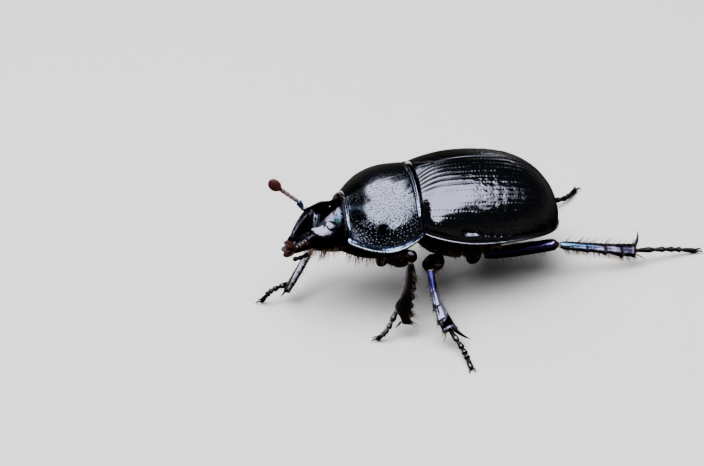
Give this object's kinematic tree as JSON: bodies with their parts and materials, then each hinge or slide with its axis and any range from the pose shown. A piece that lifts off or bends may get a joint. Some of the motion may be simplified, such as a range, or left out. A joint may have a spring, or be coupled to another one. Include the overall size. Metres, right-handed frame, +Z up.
{
  "type": "dung beetle",
  "caption": "Still, life-size model of a forest dung beetle in mid stride, with separate wing cases, forebody plate, head, eyes, feelers and jointed legs, standing on its feet.",
  "frame": {"origin": "middle of the object's box at floor level", "axes": "-Y the way the head faces, +X the beetle's left, +Z up; the floor is Z = 0"},
  "size_m": [0.0245, 0.0292, 0.0087],
  "materials": {
    "black_plate": "polished black shell with fine grooves",
    "blue_plate": "polished blue-black shell with pits",
    "head_plate": "satin black shell, wrinkled",
    "underside": "satin blue-black shell",
    "eye": "wet gloss, finely faceted",
    "violet_leg": "polished, violet-blue metallic sheen",
    "black_leg": "polished brown-black",
    "antenna_stalk": "satin red-brown",
    "antenna_club": "velvety dark red-brown",
    "bristle": "golden brown hairs and bristles"
  },
  "bodies": {
    "root": {"abdomen": "underside", "antenna_club_left": "antenna_club", "antenna_club_right": "antenna_club", "antenna_stalk_left": "antenna_stalk", "antenna_stalk_right": "antenna_stalk", "elytron_left": "black_plate", "elytron_right": "black_plate", "eye_left": "eye", "eye_right": "eye", "front_left_coxa": "underside", "front_left_femur": "black_leg", "front_left_tarsus": "black_leg", "front_left_tibia": "black_leg", "front_right_coxa": "underside", "front_right_femur": "black_leg", "front_right_tarsus": "black_leg", "front_right_tibia": "black_leg", "head": "head_plate", "hind_left_coxa": "underside", "hind_left_femur": "violet_leg", "hind_left_tarsus": "black_leg", "hind_left_tibia": "violet_leg", "hind_right_coxa": "underside", "hind_right_femur": "violet_leg", "hind_right_tarsus": "black_leg", "hind_right_tibia": "violet_leg", "labrum": "antenna_stalk", "mandible_left": "head_plate", "mandible_right": "head_plate", "metasternum": "underside", "middle_left_coxa": "underside", "middle_left_femur": "violet_leg", "middle_left_tarsus": "black_leg", "middle_left_tibia": "violet_leg", "middle_right_coxa": "underside", "middle_right_femur": "violet_leg", "middle_right_tarsus": "black_leg", "middle_right_tibia": "violet_leg", "palp_left": "antenna_stalk", "palp_right": "antenna_stalk", "pronotum": "blue_plate", "prosternum": "underside", "scutellum": "black_plate"}
  },
  "joints": []
}
